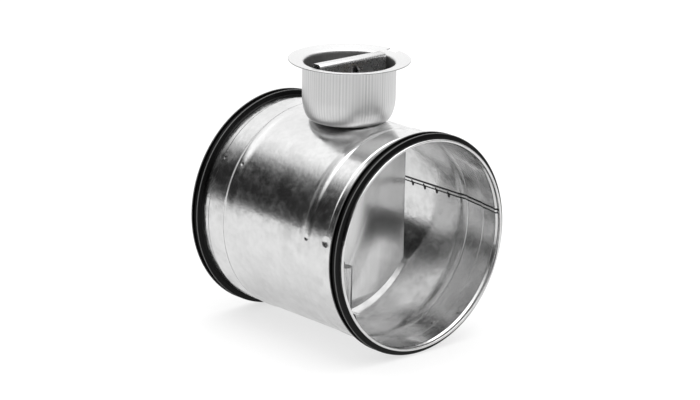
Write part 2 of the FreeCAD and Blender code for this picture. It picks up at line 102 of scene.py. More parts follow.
# Hot-dip galvanised sheet, rolled to a tube: bright zinc whose faint crystal spangle clouds the
# mirror, with fine marks left round it by the rollers and small staked dents. The roller marks
# are drawn coarser than they are, so that they show
def galvanisedSheet():
    settings = {
        "zinc": "E6E6E6", "zincShade": "CECECE", "spangle": 7.0 * mm, "cloud": 3.2 * mm,
        "cloudShare": 0.6, "cloudStrength": 0.26, "cloudHeight": 0.2 * mm,
        "roughLow": 0.13, "roughHigh": 0.27, "patchy": 0.17,
        "rollMark": 0.5 * mm, "rollStretch": 0.03, "rollStrength": 0.06, "dentDepth": 0.5 * mm,
    }
    material, tree = newMaterial("galvanisedSheet")
    place = addNode(tree, "ShaderNodeTexCoord").outputs["Object"]
    spangle = addNode(tree, "ShaderNodeTexVoronoi", {
        "Vector": place, "Scale": 1 / settings["spangle"], "Smoothness": 1.0,
    }, feature="SMOOTH_F1")
    cloud = addNode(tree, "ShaderNodeTexNoise", {
        "Vector": place, "Scale": 1 / settings["cloud"], "Detail": 2.0,
    })
    crystal = addNode(tree, "ShaderNodeSeparateColor", {"Color": spangle.outputs["Color"]})
    blended = addNode(tree, "ShaderNodeMix", {
        "Factor": settings["cloudShare"], "A": crystal.outputs["Red"], "B": cloud.outputs["Fac"],
    }, data_type="FLOAT")
    rough = addNode(tree, "ShaderNodeMapRange", {
        "Value": blended.outputs["Result"],
        "From Min": 0.5 - settings["patchy"], "From Max": 0.5 + settings["patchy"],
        "To Min": settings["roughLow"], "To Max": settings["roughHigh"],
    })
    colour = addNode(tree, "ShaderNodeMix", {
        "Factor": blended.outputs["Result"],
        "A": linearColour(settings["zinc"]), "B": linearColour(settings["zincShade"]),
    }, data_type="RGBA")
    stretched = addNode(tree, "ShaderNodeMapping", {
        "Vector": place, "Scale": (1.0, settings["rollStretch"], settings["rollStretch"]),
    })
    rolled = addNode(tree, "ShaderNodeTexNoise", {
        "Vector": stretched.outputs["Vector"], "Scale": 1 / settings["rollMark"], "Detail": 2.0,
    })
    fine = addNode(tree, "ShaderNodeBump", {
        "Height": rolled.outputs["Fac"], "Strength": settings["rollStrength"],
        "Distance": fineRelief,
    })
    facets = addNode(tree, "ShaderNodeBump", {
        "Height": cloud.outputs["Fac"], "Strength": settings["cloudStrength"],
        "Distance": settings["cloudHeight"], "Normal": fine.outputs["Normal"],
    })
    depth = None
    for along, angle, radius, size, share in dents:
        turn = math.radians(angle)
        spot = Vector((along, radius * math.cos(turn), radius * math.sin(turn)))
        away = addNode(tree, "ShaderNodeVectorMath", {0: place, 1: spot}, operation="DISTANCE")
        dent = addNode(tree, "ShaderNodeMapRange", {
            "Value": away.outputs["Value"], "From Max": size, "To Min": 1 - share,
        }, interpolation_type="SMOOTHSTEP")
        if depth is None:
            depth = dent.outputs["Result"]
        else:
            depth = addNode(tree, "ShaderNodeMath", {0: depth, 1: dent.outputs["Result"]},
                            operation="MULTIPLY").outputs["Value"]
    pressed = addNode(tree, "ShaderNodeBump", {
        "Height": depth, "Strength": 1.0, "Distance": settings["dentDepth"],
        "Normal": facets.outputs["Normal"],
    })
    shader = addNode(tree, "ShaderNodeBsdfPrincipled", {
        "Base Color": colour.outputs["Result"], "Metallic": 1.0,
        "Roughness": rough.outputs["Result"], "Normal": pressed.outputs["Normal"],
    })
    addNode(tree, "ShaderNodeOutputMaterial", {"Surface": shader.outputs["BSDF"]})
    return material


# Cold-rolled galvanised flat sheet, nearly a mirror, with upright grain along the rolling
# direction that blurs it a little. The grain is drawn coarser than it is, so that it shows
def bladeSheet():
    settings = {
        "zinc": "DEDEDE", "shade": "CACACA", "grain": 0.6 * mm, "grainStretch": 0.02,
        "grainStrength": 0.04, "rough": 0.19, "roughHigh": 0.26,
    }
    material, tree = newMaterial("rolledZincSheet")
    place = addNode(tree, "ShaderNodeTexCoord").outputs["Object"]
    stretched = addNode(tree, "ShaderNodeMapping", {
        "Vector": place, "Scale": (1.0, 1.0, settings["grainStretch"]),
    })
    grain = addNode(tree, "ShaderNodeTexNoise", {
        "Vector": stretched.outputs["Vector"], "Scale": 1 / settings["grain"], "Detail": 3.0,
    })
    rough = addNode(tree, "ShaderNodeMapRange", {
        "Value": grain.outputs["Fac"],
        "To Min": settings["rough"], "To Max": settings["roughHigh"],
    })
    colour = addNode(tree, "ShaderNodeMix", {
        "Factor": grain.outputs["Fac"],
        "A": linearColour(settings["zinc"]), "B": linearColour(settings["shade"]),
    }, data_type="RGBA")
    bump = addNode(tree, "ShaderNodeBump", {
        "Height": grain.outputs["Fac"], "Strength": settings["grainStrength"],
        "Distance": fineRelief,
    })
    shader = addNode(tree, "ShaderNodeBsdfPrincipled", {
        "Base Color": colour.outputs["Result"], "Metallic": 1.0,
        "Roughness": rough.outputs["Result"], "Normal": bump.outputs["Normal"],
    })
    addNode(tree, "ShaderNodeOutputMaterial", {"Surface": shader.outputs["BSDF"]})
    return material


# Deep-drawn sheet: satin, with upright flutes burnished bright on their crests by the die,
# and painted shade that darkens its colour inside, with a darker line along the flange's outer
# edge. The streaks between the flutes are drawn coarser than they are, so that they show
def drawnSheet():
    settings = {
        "metal": "F0F0F0", "shade": "C2C2C2", "paintedShadeAndEdge": "AEAEAE",
        "streak": 1.0 * mm, "streakStretch": 0.01, "streakShare": 0.4, "streakStrength": 0.1,
        "rough": 0.36, "roughHigh": 0.47,
    }
    material, tree = newMaterial("deepDrawnSheet")
    place = addNode(tree, "ShaderNodeTexCoord").outputs["Object"]
    stretched = addNode(tree, "ShaderNodeMapping", {
        "Vector": place, "Scale": (1.0, 1.0, settings["streakStretch"]),
    })
    streak = addNode(tree, "ShaderNodeTexNoise", {
        "Vector": stretched.outputs["Vector"], "Scale": 1 / settings["streak"], "Detail": 1.5,
    })
    flute = addNode(tree, "ShaderNodeAttribute", attribute_name="flute")
    crest = addNode(tree, "ShaderNodeMapRange", {
        "Value": flute.outputs["Fac"], "From Min": -1.0, "From Max": 1.0,
    })
    amount = addNode(tree, "ShaderNodeMix", {
        "Factor": settings["streakShare"], "A": crest.outputs["Result"],
        "B": streak.outputs["Fac"],
    }, data_type="FLOAT")
    rough = addNode(tree, "ShaderNodeMapRange", {
        "Value": amount.outputs["Result"],
        "To Min": settings["roughHigh"], "To Max": settings["rough"],
    })
    rubbedAndHighlight = addNode(tree, "ShaderNodeMix", {
        "Factor": amount.outputs["Result"],
        "A": linearColour(settings["shade"]), "B": linearColour(settings["metal"]),
    }, data_type="RGBA")
    # Painted shade: the cup's inside, and its flange's outer edge, darkened towards the grey below
    paintedShadeAndEdge = addNode(tree, "ShaderNodeAttribute", attribute_name="paintedShadeAndEdge")
    colour = addNode(tree, "ShaderNodeMix", {
        "Factor": paintedShadeAndEdge.outputs["Fac"], "A": rubbedAndHighlight.outputs["Result"],
        "B": linearColour(settings["paintedShadeAndEdge"]),
    }, data_type="RGBA")
    bump = addNode(tree, "ShaderNodeBump", {
        "Height": streak.outputs["Fac"], "Strength": settings["streakStrength"],
        "Distance": fineRelief,
    })
    shader = addNode(tree, "ShaderNodeBsdfPrincipled", {
        "Base Color": colour.outputs["Result"], "Metallic": 1.0,
        "Roughness": rough.outputs["Result"], "Normal": bump.outputs["Normal"],
    })
    addNode(tree, "ShaderNodeOutputMaterial", {"Surface": shader.outputs["BSDF"]})
    return material


# Extruded EPDM rubber: near black with a soft shine, and a thin grey painted highlight along the
# lips' crests. Its grain is drawn coarser than it is, so that it shows
def epdmRubber():
    settings = {
        "rubber": "030303", "rubbedAndHighlight": "606060", "edgeFoot": 64.6 * mm, "edgeTop": 65.0 * mm,
        "grain": 0.3 * mm, "grainStrength": 0.1, "rough": 0.24, "roughSpread": 0.12,
        "sheen": 0.16,
    }
    material, tree = newMaterial("extrudedEpdm")
    place = addNode(tree, "ShaderNodeTexCoord").outputs["Object"]
    grain = addNode(tree, "ShaderNodeTexNoise", {
        "Vector": place, "Scale": 1 / settings["grain"], "Detail": 2.0,
    })
    rough = addNode(tree, "ShaderNodeMapRange", {
        "Value": grain.outputs["Fac"],
        "To Min": settings["rough"], "To Max": settings["rough"] + settings["roughSpread"],
    })
    bump = addNode(tree, "ShaderNodeBump", {
        "Height": grain.outputs["Fac"], "Strength": settings["grainStrength"],
        "Distance": fineRelief,
    })
    across = addNode(tree, "ShaderNodeVectorMath", {0: place, 1: (0, 1, 1)}, operation="MULTIPLY")
    radius = addNode(tree, "ShaderNodeVectorMath", {0: across.outputs["Vector"]},
                     operation="LENGTH")
    # Painted highlight: grey colour near the lips' crests, between edgeFoot and edgeTop
    edge = addNode(tree, "ShaderNodeMapRange", {
        "Value": radius.outputs["Value"],
        "From Min": settings["edgeFoot"], "From Max": settings["edgeTop"],
    }, interpolation_type="SMOOTHSTEP")
    colour = addNode(tree, "ShaderNodeMix", {
        "Factor": edge.outputs["Result"],
        "A": linearColour(settings["rubber"]), "B": linearColour(settings["rubbedAndHighlight"]),
    }, data_type="RGBA")
    shader = addNode(tree, "ShaderNodeBsdfPrincipled", {
        "Base Color": colour.outputs["Result"], "Roughness": rough.outputs["Result"],
        "Specular IOR Level": settings["sheen"], "Normal": bump.outputs["Normal"],
    })
    addNode(tree, "ShaderNodeOutputMaterial", {"Surface": shader.outputs["BSDF"]})
    return material


smallParts = {"cloud": 1.2 * mm, "cloudStrength": 0.03}


# A small piece's finish: one colour, with a faint clouding that varies how sharp its shine is
def smallPartFinish(name, hexColour, roughLow, roughHigh, metallic=1.0):
    material, tree = newMaterial(name)
    place = addNode(tree, "ShaderNodeTexCoord").outputs["Object"]
    cloud = addNode(tree, "ShaderNodeTexNoise", {
        "Vector": place, "Scale": 1 / smallParts["cloud"], "Detail": 3.0,
    })
    rough = addNode(tree, "ShaderNodeMapRange", {
        "Value": cloud.outputs["Fac"], "To Min": roughLow, "To Max": roughHigh,
    })
    bump = addNode(tree, "ShaderNodeBump", {
        "Height": cloud.outputs["Fac"], "Strength": smallParts["cloudStrength"],
        "Distance": fineRelief,
    })
    shader = addNode(tree, "ShaderNodeBsdfPrincipled", {
        "Base Color": linearColour(hexColour), "Metallic": metallic,
        "Roughness": rough.outputs["Result"], "Normal": bump.outputs["Normal"],
    })
    addNode(tree, "ShaderNodeOutputMaterial", {"Surface": shader.outputs["BSDF"]})
    return material


sheet = galvanisedSheet()
bladeMetal = bladeSheet()
cupMetal = drawnSheet()
rubber = epdmRubber()
# Bright zinc plating: a clear but blurred mirror
zincPlate = smallPartFinish("zincPlatedSteel", "D5D5D5", 0.2, 0.32)
# Galvanised sheet folded on a press: bright, softened by the tool's rubbing
foldedMetal = smallPartFinish("foldedGalvanisedSheet", "DCDCDC", 0.22, 0.34)
# Near-black dull metal: painted shade on the handle bar's end faces, for the dark hollow of its
# channel
darkEdge = smallPartFinish("barEndPaintedShade", "3C3C3C", 0.45, 0.6)
# Plated rivets, upset when they were set: a little duller than the other fasteners
rivetMetal = smallPartFinish("zincPlatedRivet", "D1D1D1", 0.25, 0.38)
# Rod drawn through a die: smooth, with the sharpest highlights of the small pieces
rodMetal = smallPartFinish("drawnSteelRod", "CACACA", 0.18, 0.3)
# Brass from the lathe: warm yellow and bright
brass = smallPartFinish("turnedBrass", "C9A55E", 0.2, 0.32)
# Hardened spring strip: dark grey metal with a low shine
springSteel = smallPartFinish("springSteel", "787878", 0.28, 0.4)
# Moulded nylon: dark grey with a soft, dull shine
nylon = smallPartFinish("mouldedNylon", "2B2B2B", 0.4, 0.55, 0.0)
# Near-black and rubbery: painted shade for the crevices along the seam's fold and its stake marks
seamShadePaint = smallPartFinish("seamPaintedShade", "141414", 0.45, 0.6, 0.0)
print("materials made")


# Turns a piece's modifiers into its plain mesh
def bake(piece):
    bpy.context.view_layer.update()
    graph = bpy.context.evaluated_depsgraph_get()
    mesh = bpy.data.meshes.new_from_object(piece.evaluated_get(graph))
    piece.modifiers.clear()
    old = piece.data
    piece.data = mesh
    mesh.name = piece.name
    bpy.data.meshes.remove(old)


# Sets a Geometry Nodes modifier's inputs by their sockets' identifiers
def growNodes(piece, tree, values):
    modifier = piece.modifiers.new(tree.name, "NODES")
    modifier.node_group = tree
    sockets = {item.name: item.identifier for item in tree.interface.items_tree
               if item.in_out == "INPUT" and item.socket_type != "NodeSocketGeometry"}
    for name, value in values.items():
        modifier[sockets[name]] = value
    bake(piece)


def meshPiece(name, verts, faces, material):
    mesh = bpy.data.meshes.new(name)
    mesh.from_pydata(verts, [], faces)
    work = bmesh.new()
    work.from_mesh(mesh)
    bmesh.ops.remove_doubles(work, verts=work.verts, dist=mergeGap)
    bmesh.ops.recalc_face_normals(work, faces=work.faces)
    work.to_mesh(mesh)
    work.free()
    mesh.materials.append(material)
    mesh.shade_smooth()
    mesh.set_sharp_from_angle(angle=sharpAngle)
    piece = bpy.data.objects.new(name, mesh)
    bpy.context.collection.objects.link(piece)
    return piece


# A closed outline of (along, radius) points turned round an axis
def turned(name, outline, count, put, material):
    verts = []
    for step in range(count):
        angle = 2 * math.pi * step / count
        verts += [put(along, radius, angle) for along, radius in outline]
    rows = len(outline)
    faces = []
    for step in range(count):
        here = step * rows
        there = (step + 1) % count * rows
        for row in range(rows):
            nextRow = (row + 1) % rows
            faces.append((here + row, here + nextRow, there + nextRow, there + row))
    return meshPiece(name, verts, faces, material)


def roundX(along, radius, angle):
    return Vector((along, radius * math.cos(angle), radius * math.sin(angle)))


def roundZ(along, radius, angle):
    return Vector((midX + radius * math.cos(angle), radius * math.sin(angle), along))


# Points from start to end, without the end itself
def lineSteps(start, end, count):
    return [tuple(a + (b - a) * i / count for a, b in zip(start, end)) for i in range(count)]


# Points round an arc in degrees, without its last one
def arcSteps(centre, radius, first, last, count):
    steps = [math.radians(first + (last - first) * i / count) for i in range(count)]
    return [(centre[0] + radius * math.cos(a), centre[1] + radius * math.sin(a)) for a in steps]


# S-shaped step between two radii, offset inwards by a depth
def easeSteps(start, end, depth, count):
    run = end[0] - start[0]
    rise = end[1] - start[1]
    side = 1 if rise > 0 else -1
    turn = 2 * math.atan2(abs(rise), run)
    radius = run / 2 / math.sin(turn)
    points = []
    for i in range(count):
        a = turn * i / count
        size = radius + side * depth
        points.append((start[0] + size * math.sin(a),
                       start[1] + side * radius - side * size * math.cos(a)))
    for i in range(count):
        a = turn * (1 - i / count)
        size = radius - side * depth
        points.append((end[0] - size * math.sin(a),
                       end[1] - side * radius + side * size * math.cos(a)))
    return points


casing = {
    "wall": 62.1 * mm, "sheet": 0.7 * mm, "around": 352,
    "beadStart": 27.6 * mm, "beadSteep": 3.0 * mm, "beadGentle": 6.4 * mm,
    "beadHeight": 0.5 * mm, "innerSteep": 1.2 * mm, "beadSteps": 6,
    "neckLength": 14.4 * mm, "neckDrop": 0.45 * mm, "neckStep": 1.0 * mm, "neckSteps": 4,
    "rimThickness": 1.55 * mm, "rimFlat": 0.35 * mm, "rimLength": 2.2 * mm,
    "rimBevel": 0.15 * mm, "rimCrease": 0.7 * mm, "noseSteps": 6,
    "grooveStart": 1.0 * mm, "grooveDepth": 0.9 * mm, "ridgeEnd": 4.85 * mm,
    "flareFoot": 2.95 * mm, "flareTop": 4.1 * mm, "flareSoft": 0.12 * mm,
    "crease": 0.4 * mm, "creaseDepth": 0.28 * mm, "guard": 0.15 * mm,
    "topFlat": 60.8 * mm, "topFlatRadius": 24.0 * mm,
    "bottomFlat": -61.2 * mm, "bottomFlatRadius": 10.4 * mm, "pressWidth": 4.0 * mm,
    "edgeSteps": 2, "bodySteps": 16,
}


# One skin of the sheet from neck to neck, at a depth below the outer one. The inner skin also
# has a crease before each bead and a steeper rise. Points a guard's width from each bend keep
# its shading off the flat stretches
def casingSkin(depth):
    c = casing
    wall = c["wall"]
    neck = wall - c["neckDrop"]
    neckEnd = c["neckLength"] + c["neckStep"]
    beadStart = c["beadStart"]
    crest = beadStart + c["beadSteep"]
    beadEnd = crest + c["beadGentle"]
    crown = wall + c["beadHeight"]
    skin = wall - depth
    guard = c["guard"]
    edge = beadStart - (c["crease"] if depth else 0)
    half = [(c["neckLength"] - guard, neck - depth)]
    half += easeSteps((c["neckLength"], neck), (neckEnd, wall), depth, c["neckSteps"])
    half.append((neckEnd, skin))
    half += lineSteps((neckEnd + guard, skin), (edge - guard, skin), c["edgeSteps"])
    half.append((edge - guard, skin))
    if depth:
        deep = skin + c["creaseDepth"]
        half += [(edge, skin), (edge + guard / 3, deep), (beadStart - guard / 3, deep)]
        steep = beadStart + c["innerSteep"]
        half += easeSteps((beadStart, wall), (steep, crown), depth, c["beadSteps"])
        half.append((steep, crown - depth))
    else:
        half += easeSteps((beadStart, wall), (crest, crown), depth, c["beadSteps"])
    half += easeSteps((crest, crown), (beadEnd, wall), depth, c["beadSteps"])
    half.append((beadEnd, skin))
    half += lineSteps((beadEnd + guard, skin), (midX, skin), c["bodySteps"])
    return half + [(midX, skin)] + [(endX - x, r) for x, r in reversed(half)]


# Inside the rim: a groove behind the nose, then the flare down to the ridge that grips the gasket
def hemFace():
    c = casing
    nose = (c["rimThickness"] - c["rimFlat"]) / 2
    inner = c["wall"] - c["rimThickness"]
    low = inner + c["grooveDepth"]
    soft = c["flareSoft"]
    foot, top = c["flareFoot"], c["flareTop"]
    return [(nose, inner), (c["grooveStart"], low), (foot - soft, low), (foot + soft, low - soft),
            (top - soft, inner + soft), (top + soft, inner), (c["ridgeEnd"], inner)]


# The folded rim from the neck outside, round its nose, to the crease behind the ridge inside
def rimNose():
    c = casing
    wall = c["wall"]
    nose = (c["rimThickness"] - c["rimFlat"]) / 2
    inner = wall - c["rimThickness"]
    innerSkin = wall - c["neckDrop"] - c["sheet"]
    bevel = c["rimBevel"]
    end = c["rimLength"]
    outline = [(end, wall - c["neckDrop"]), (end, wall - bevel), (end - bevel, wall)]
    outline += arcSteps((nose, wall - nose), nose, 90, 180, c["noseSteps"]) + [(0, wall - nose)]
    outline += arcSteps((nose, inner + nose), nose, 180, 270, c["noseSteps"]) + hemFace()
    deep = innerSkin + c["creaseDepth"]
    far = c["ridgeEnd"] + c["rimCrease"]
    return outline + [(c["ridgeEnd"], deep), (far, deep), (far, innerSkin)]


# The pressed flat seats under the cup and round the lower bush
def pressFlat(point):
    c = casing
    away = math.hypot(point.x - midX, point.y)
    seats = ((c["topFlat"], c["topFlatRadius"]), (c["bottomFlat"], c["bottomFlatRadius"]))
    for level, radius in seats:
        if point.z * level < 0:
            continue
        depth = c["wall"] - math.hypot(point.y, point.z)
        target = abs(level) - depth
        excess = abs(point.z) - target
        if excess <= 0:
            continue
        share = min(max((radius + c["pressWidth"] / 2 - away) / c["pressWidth"], 0), 1)
        share = share * share * (3 - 2 * share)
        point.z -= math.copysign(excess * share, level)
    return point


def makeCasing():
    outer = casingSkin(0)
    inner = casingSkin(casing["sheet"])
    rear = rimNose()
    front = [(endX - x, r) for x, r in rear]
    outline = outer + front + inner[::-1] + rear[::-1]
    piece = turned("casingSheet", outline, casing["around"], roundX, sheet)
    for vert in piece.data.vertices:
        vert.co = pressFlat(vert.co.copy())
    piece.data.update()
    return piece


casingPiece = makeCasing()
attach(casingPiece, "housing")
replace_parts(casingPiece, "casing")

seam = {
    "angle": 9.9, "rimAngle": 7.8, "dragLength": 27.6 * mm, "endGap": 0.9 * mm, "slope": 0.6 * mm,
    "width": 1.7 * mm, "height": 0.45 * mm, "foldRadius": 0.3 * mm,
    "crownLean": 80, "crownSteps": 8,
    "shadeLineWidth": 0.7 * mm, "shadeLineHeight": 0.3 * mm, "shadeLineFold": 0.1 * mm, "shadeLineLap": 0.1 * mm,
    "blobs": 5, "firstBlob": 46.8 * mm, "blobPitch": 10.4 * mm, "blobWidth": 1.9 * mm,
    "blobDrop": 2.8 * mm, "blobRise": 0.135 * mm, "blobTaper": 0.8, "blobDropTaper": 0.92,
    "uneven": 0.15, "seed": 3,
}


# The seam's place round the duct: rolling the beads and necks dragged it down towards each rim
def seamTurn(x):
    share = min(min(x, endX - x) / seam["dragLength"], 1)
    return math.radians(seam["rimAngle"] + (seam["angle"] - seam["rimAngle"]) * share)


# A strip that follows the wall inside from end to end, between two distances round it, with a
# rounded crown
def wallStrip(name, low, high, height, fold, material):
    hemWall = casing["wall"] - casing["rimThickness"]
    neckWall = casing["wall"] - casing["neckDrop"] - casing["sheet"]
    rear = [(seam["endGap"], hemWall)] + [point for point in hemFace() if point[0] > seam["endGap"]]
    rear.append((casing["ridgeEnd"] + seam["slope"], neckWall))
    path = rear + casingSkin(casing["sheet"]) + [(endX - x, r) for x, r in reversed(rear)]
    middleSide = (low + high) / 2
    reach = (high - low) / 2
    fullLean = math.sin(math.radians(seam["crownLean"]))
    across = [(low, -fold)]
    for i in range(seam["crownSteps"] + 1):
        lean = math.radians(seam["crownLean"] * (2 * i / seam["crownSteps"] - 1))
        across.append((middleSide + reach * math.sin(lean) / fullLean,
                       (height - fold) + fold * math.cos(lean)))
    across.append((high, -fold))
    verts = []
    for x, r in path:
        for side, rise in across:
            verts.append(roundX(x, r - rise, seamTurn(x) + side / casing["wall"]))
    count = len(across)
    faces = [tuple(range(count)), tuple(reversed(range(len(verts) - count, len(verts))))]
    for row in range(len(path) - 1):
        for i in range(count):
            nextI = (i + 1) % count
            here = row * count
            faces.append((here + i, here + count + i, here + count + nextI, here + nextI))
    return meshPiece(name, verts, faces, material)


# The lock seam's folded strip, with dark strips along both its edges: painted shade for the
# crevices of the fold
def makeSeam():
    s = seam
    half = s["width"] / 2
    strip = wallStrip("lockSeamStrip", -half, half, s["height"], s["foldRadius"], sheet)
    pieces = [(strip, "galvanised_sheet")]
    for name, side in (("upperSeamShadeLine", 1), ("lowerSeamShadeLine", -1)):
        near = side * (half - s["shadeLineLap"])
        far = side * (half + s["shadeLineWidth"])
        line = wallStrip(name, min(near, far), max(near, far), s["shadeLineHeight"], s["shadeLineFold"],
                         seamShadePaint)
        pieces.append((line, "gasket_rubber"))
    return pieces


# Dark blobs that hang from the seam's lower edge at its stakes, painted shade for the stake marks,
# spread along it by nodes
def blobTree():
    tree = bpy.data.node_groups.new("stakeShadeBlobs", "GeometryNodeTree")
    face = tree.interface
    sockets = (("Geometry", "NodeSocketGeometry"), ("Count", "NodeSocketInt"),
               ("Start", "NodeSocketVector"), ("Pitch", "NodeSocketVector"),
               ("Uneven", "NodeSocketFloat"), ("Seed", "NodeSocketInt"),
               ("Metal", "NodeSocketMaterial"))
    for name, kind in sockets:
        face.new_socket(name, in_out="INPUT", socket_type=kind)
    face.new_socket("Geometry", in_out="OUTPUT", socket_type="NodeSocketGeometry")
    given = addNode(tree, "NodeGroupInput").outputs
    row = addNode(tree, "GeometryNodeMeshLine", {
        "Count": given["Count"], "Start Location": given["Start"], "Offset": given["Pitch"],
    })
    least = addNode(tree, "ShaderNodeMath", {0: 1.0, 1: given["Uneven"]}, operation="SUBTRACT")
    size = addNode(tree, "FunctionNodeRandomValue", {
        "Min": least.outputs["Value"], "Max": 1.0, "Seed": given["Seed"],
    }, data_type="FLOAT")
    spread = addNode(tree, "GeometryNodeInstanceOnPoints", {
        "Points": row.outputs["Mesh"], "Instance": given["Geometry"],
        "Scale": size.outputs["Value"],
    })
    real = addNode(tree, "GeometryNodeRealizeInstances", {"Geometry": spread.outputs["Instances"]})
    finish = addNode(tree, "GeometryNodeSetMaterial", {
        "Geometry": real.outputs["Geometry"], "Material": given["Metal"],
    })
    addNode(tree, "NodeGroupOutput", {"Geometry": finish.outputs["Geometry"]})
    return tree


# One lopsided dark blob of painted shade, from over the seam down to its lowest point, which the
# tree then repeats. Its corners are shares of its half width, and of how far it reaches up the seam
# and down the wall
def makeBlobs():
    s = seam
    edge = math.radians(s["angle"]) - s["width"] / 2 / casing["wall"]
    inner = casing["wall"] - casing["sheet"]
    inward = -roundX(0, 1, edge)
    down = roundX(0, 1, edge - math.pi / 2)
    along = Vector((1, 0, 0))
    half = s["blobWidth"] / 2
    width, drop, line = s["width"], s["blobDrop"], s["shadeLineWidth"]
    outline = [(-half, -width * 0.35), (-half * 0.2, -width), (half * 0.5, -width * 0.3),
               (half, line), (half * 0.3, drop), (-half * 0.2, drop * 0.8), (-half * 0.7, line)]
    rise = s["height"] + s["blobRise"]
    verts = [along * x + down * y for x, y in outline]
    verts += [along * x * s["blobTaper"] + down * y * s["blobDropTaper"] + inward * rise
              for x, y in outline]
    count = len(outline)
    faces = [tuple(reversed(range(count))), tuple(range(count, 2 * count))]
    faces += [(i, (i + 1) % count, (i + 1) % count + count, i + count) for i in range(count)]
    piece = meshPiece("stakeShadeBlobs", verts, faces, seamShadePaint)
    growNodes(piece, blobTree(), {
        "Count": s["blobs"], "Start": roundX(s["firstBlob"], inner, edge),
        "Pitch": (s["blobPitch"], 0, 0), "Uneven": s["uneven"], "Seed": s["seed"],
        "Metal": seamShadePaint,
    })
    return piece


for piece, slotName in makeSeam() + [(makeBlobs(), "gasket_rubber")]:
    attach(piece, "housing")
print("casing made")

gasket = {
    "start": 2.25 * mm, "length": 7.6 * mm, "base": 0.65 * mm, "inner": 61.7 * mm,
    "lip": 65.1 * mm, "tip": 0.4 * mm, "firstLip": 3.2 * mm, "secondLip": 7.8 * mm,
    "root": 1.0 * mm, "around": 360, "sideSteps": 3, "tipSteps": 8, "valleySteps": 16,
}


# Two round-tipped lips on a flat base, with a round valley between them
def makeGasket(name, mirrored):
    g = gasket
    start = g["start"]
    end = start + g["length"]
    base = g["inner"] + g["base"]
    tip = g["tip"]
    top = g["lip"] - tip
    firstLip, secondLip = g["firstLip"], g["secondLip"]
    valley = (firstLip + secondLip) / 2
    halfRun = valley - firstLip - tip
    drop = top - base
    sag = (halfRun ** 2 + drop ** 2) / 2 / drop
    reach = math.degrees(math.asin(min(halfRun / sag, 1)))
    foot = (secondLip + g["root"], base)
    outline = [(start, g["inner"]), (start, base)]
    outline += lineSteps((start, base), (firstLip - tip, top), g["sideSteps"])[1:]
    outline += arcSteps((firstLip, top), tip, 180, 0, g["tipSteps"])
    outline += arcSteps((valley, base + sag), sag, 270 - reach, 270 + reach, g["valleySteps"])
    outline += arcSteps((secondLip, top), tip, 180, 0, g["tipSteps"])
    outline += lineSteps((secondLip + tip, top), foot, g["sideSteps"])
    outline += [foot, (end, base - g["base"] / 2), (end, g["inner"])]
    if mirrored:
        outline = [(endX - x, r) for x, r in reversed(outline)]
    piece = turned(name, outline, g["around"], roundX, rubber)
    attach(piece, "housing")
    return piece


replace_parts(makeGasket("rearLipGasket", False), "rear_gasket")
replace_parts(makeGasket("frontLipGasket", True), "front_gasket")
print("gaskets made")

cup = {
    "outer": 27.1 * mm, "sheet": 0.7 * mm, "bottom": 61.3 * mm, "around": 720,
    "corner": 5.3 * mm, "cornerHeight": 14.4 * mm, "cornerSteps": 14,
    "outerWallSteps": 20, "innerWallSteps": 16,
    "flange": 35.45 * mm, "flangeTop": 96.6 * mm, "dish": 1.3 * mm, "dishSteps": 8,
    "roll": 1.6 * mm, "underRollSteps": 6, "rollSteps": 8, "lipSteps": 8,
    "notchWidth": 8.0 * mm, "notchDepth": 3.4 * mm,
    "cutterOut": 4.0 * mm, "cutterBelow": 5.0 * mm, "cutterAbove": 3.0 * mm,
    "flutes": 90.0, "fluteDepth": 0.04 * mm, "fluteTop": 92.0 * mm, "fluteBottom": 63.0 * mm,
    "fluteFade": 5.0 * mm, "unevenPitch": 4.0, "seed": 7.0,
    "skinMiddle": 0.97, "mouthFade": 2.5 * mm, "darkEdge": 0.2 * mm,
}


# Angles from first to last in radians, both of them included
def angleSteps(first, last, count):
    return [first + (last - first) * i / count for i in range(count + 1)]


# The cup's outline: bottom, corner and wall outside, the flange round its lip, and back inside
def makeCupBlank():
    c = cup
    thick = c["sheet"]
    quarter = math.pi / 2
    low = c["bottom"]
    high = c["cornerHeight"]
    corner = c["corner"]
    flat = c["outer"] - corner
    cornerTop = low + high
    flangeIn = c["flangeTop"] - c["dish"]
    roll = c["roll"]
    under = roll - thick
    rollR = c["outer"] + under
    rollZ = flangeIn - roll
    outline = [(low, 0.0), (low, flat / 2)]
    outline += [(cornerTop - high * math.cos(a), flat + corner * math.sin(a))
                for a in angleSteps(0, quarter, c["cornerSteps"])]
    outline += lineSteps((cornerTop, c["outer"]), (rollZ, c["outer"]), c["outerWallSteps"])[1:]
    outline += [(rollZ + under * math.sin(a), rollR - under * math.cos(a))
                for a in angleSteps(0, quarter, c["underRollSteps"])]
    edge = c["flangeTop"] - thick
    outline += lineSteps((rollZ + under, rollR), (edge, c["flange"]), c["dishSteps"])[1:]
    lip = thick / 2
    outline += [(edge + lip + lip * math.sin(a), c["flange"] - lip + lip * math.cos(a))
                for a in angleSteps(-quarter, quarter, c["lipSteps"])]
    outline += lineSteps((c["flangeTop"], c["flange"] - lip), (flangeIn, rollR),
                         c["dishSteps"])[1:]
    outline += [(rollZ + roll * math.sin(a), rollR - roll * math.cos(a))
                for a in angleSteps(quarter, 0, c["rollSteps"])]
    outline += lineSteps((rollZ, c["outer"] - thick), (cornerTop, c["outer"] - thick),
                         c["innerWallSteps"])[1:]
    outline += [(cornerTop - (high - thick) * math.cos(a), flat + (corner - thick) * math.sin(a))
                for a in angleSteps(quarter, 0, c["cornerSteps"])]
    outline += [(low + thick, flat / 2), (low + thick, 0.0)]
    return outline


